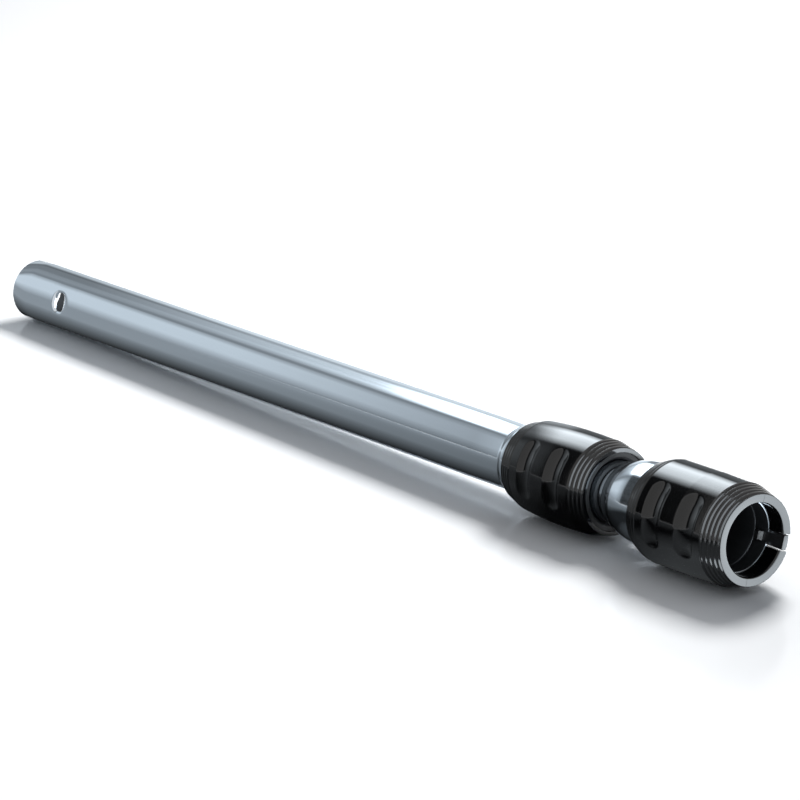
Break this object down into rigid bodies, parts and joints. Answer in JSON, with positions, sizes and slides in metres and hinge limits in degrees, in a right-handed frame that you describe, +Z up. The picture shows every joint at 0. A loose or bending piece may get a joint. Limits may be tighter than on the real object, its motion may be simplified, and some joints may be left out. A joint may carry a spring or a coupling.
{
  "type": "telescopic vacuum wand",
  "caption": "Telescopic vacuum wand: two chromed tubes, a grooved lock sleeve with a sprung catch, and a handle socket with a release lever.",
  "frame": {"origin": "centre of the lower tube's open end, on the wand's axis", "axes": "+X along the wand towards the mouth of the handle socket (its axis rises 0.92 degrees from +X, because the wand lies on the lower tube's end and on the wider handle sleeve), +Z up, the latch hole and finger grooves towards -Y"},
  "size_m": [0.6216, 0.053, 0.0534],
  "materials": {
    "chrome_tube": "bright chrome plate",
    "chrome_cup": "bright chrome plate",
    "black_gloss": "gloss",
    "black_nose": "gloss",
    "black_lever": "semi-gloss",
    "black_satin": "satin",
    "pale_nylon": "satin",
    "grey_felt": "felt",
    "dark_rubber": "matt",
    "plain_steel": "zinc plated",
    "spring_steel": "bright drawn"
  },
  "bodies": {
    "lower": {"outer_tube": "chrome_tube", "guide_bush": "pale_nylon", "lock_housing": "black_satin", "wiper_ring": "grey_felt", "wiper_retainer": "pale_nylon", "sleeve_spring": "spring_steel"},
    "upper": {"inner_tube": "chrome_tube", "tail_guide": "pale_nylon", "tail_seal": "dark_rubber", "stop_clip": "plain_steel", "neck_cup": "chrome_cup", "handle_sleeve": "black_gloss", "sleeve_clip": "pale_nylon", "socket_half_front": "black_nose", "socket_half_rear": "black_nose", "socket_seal": "dark_rubber", "lever_pin": "plain_steel", "lever_spring": "spring_steel"},
    "sleeve": {"lock_sleeve": "black_gloss", "sleeve_end_ring": "black_satin", "release_cam": "plain_steel"},
    "catch": {"lock_catch": "plain_steel", "catch_pin": "plain_steel"},
    "lever": {"release_lever": "black_lever"}
  },
  "joints": [
    {"name": "telescope", "type": "slide", "parent": "lower", "child": "upper", "axis": [0.9999, 0, 0.016], "range_m": [0, 0.36]},
    {"name": "sleeve_slide", "type": "slide", "parent": "lower", "child": "sleeve", "axis": [-0.9999, 0, -0.016], "range_m": [0, 0.006], "stiffness_N_per_m": 800, "springref_m": -0.004, "deforming": ["sleeve_spring"]},
    {"name": "catch_lift", "type": "slide", "parent": "lower", "child": "catch", "axis": [0.0155, -0.2588, -0.9658], "range_m": [0, 0.0015]},
    {"name": "lever_rock", "type": "hinge", "parent": "upper", "child": "lever", "pos_m": [0.59201, 0.01999, 0.00414], "axis": [-0.0155, 0.2588, 0.9658], "range_deg": [0, 8.5], "stiffness_Nm_per_rad": 0.2, "springref_deg": -5.73, "deforming": ["lever_spring"]}
  ],
  "couplings": [
    {"joint": "catch_lift", "follows": "sleeve_slide", "ratio": 0.25}
  ]
}
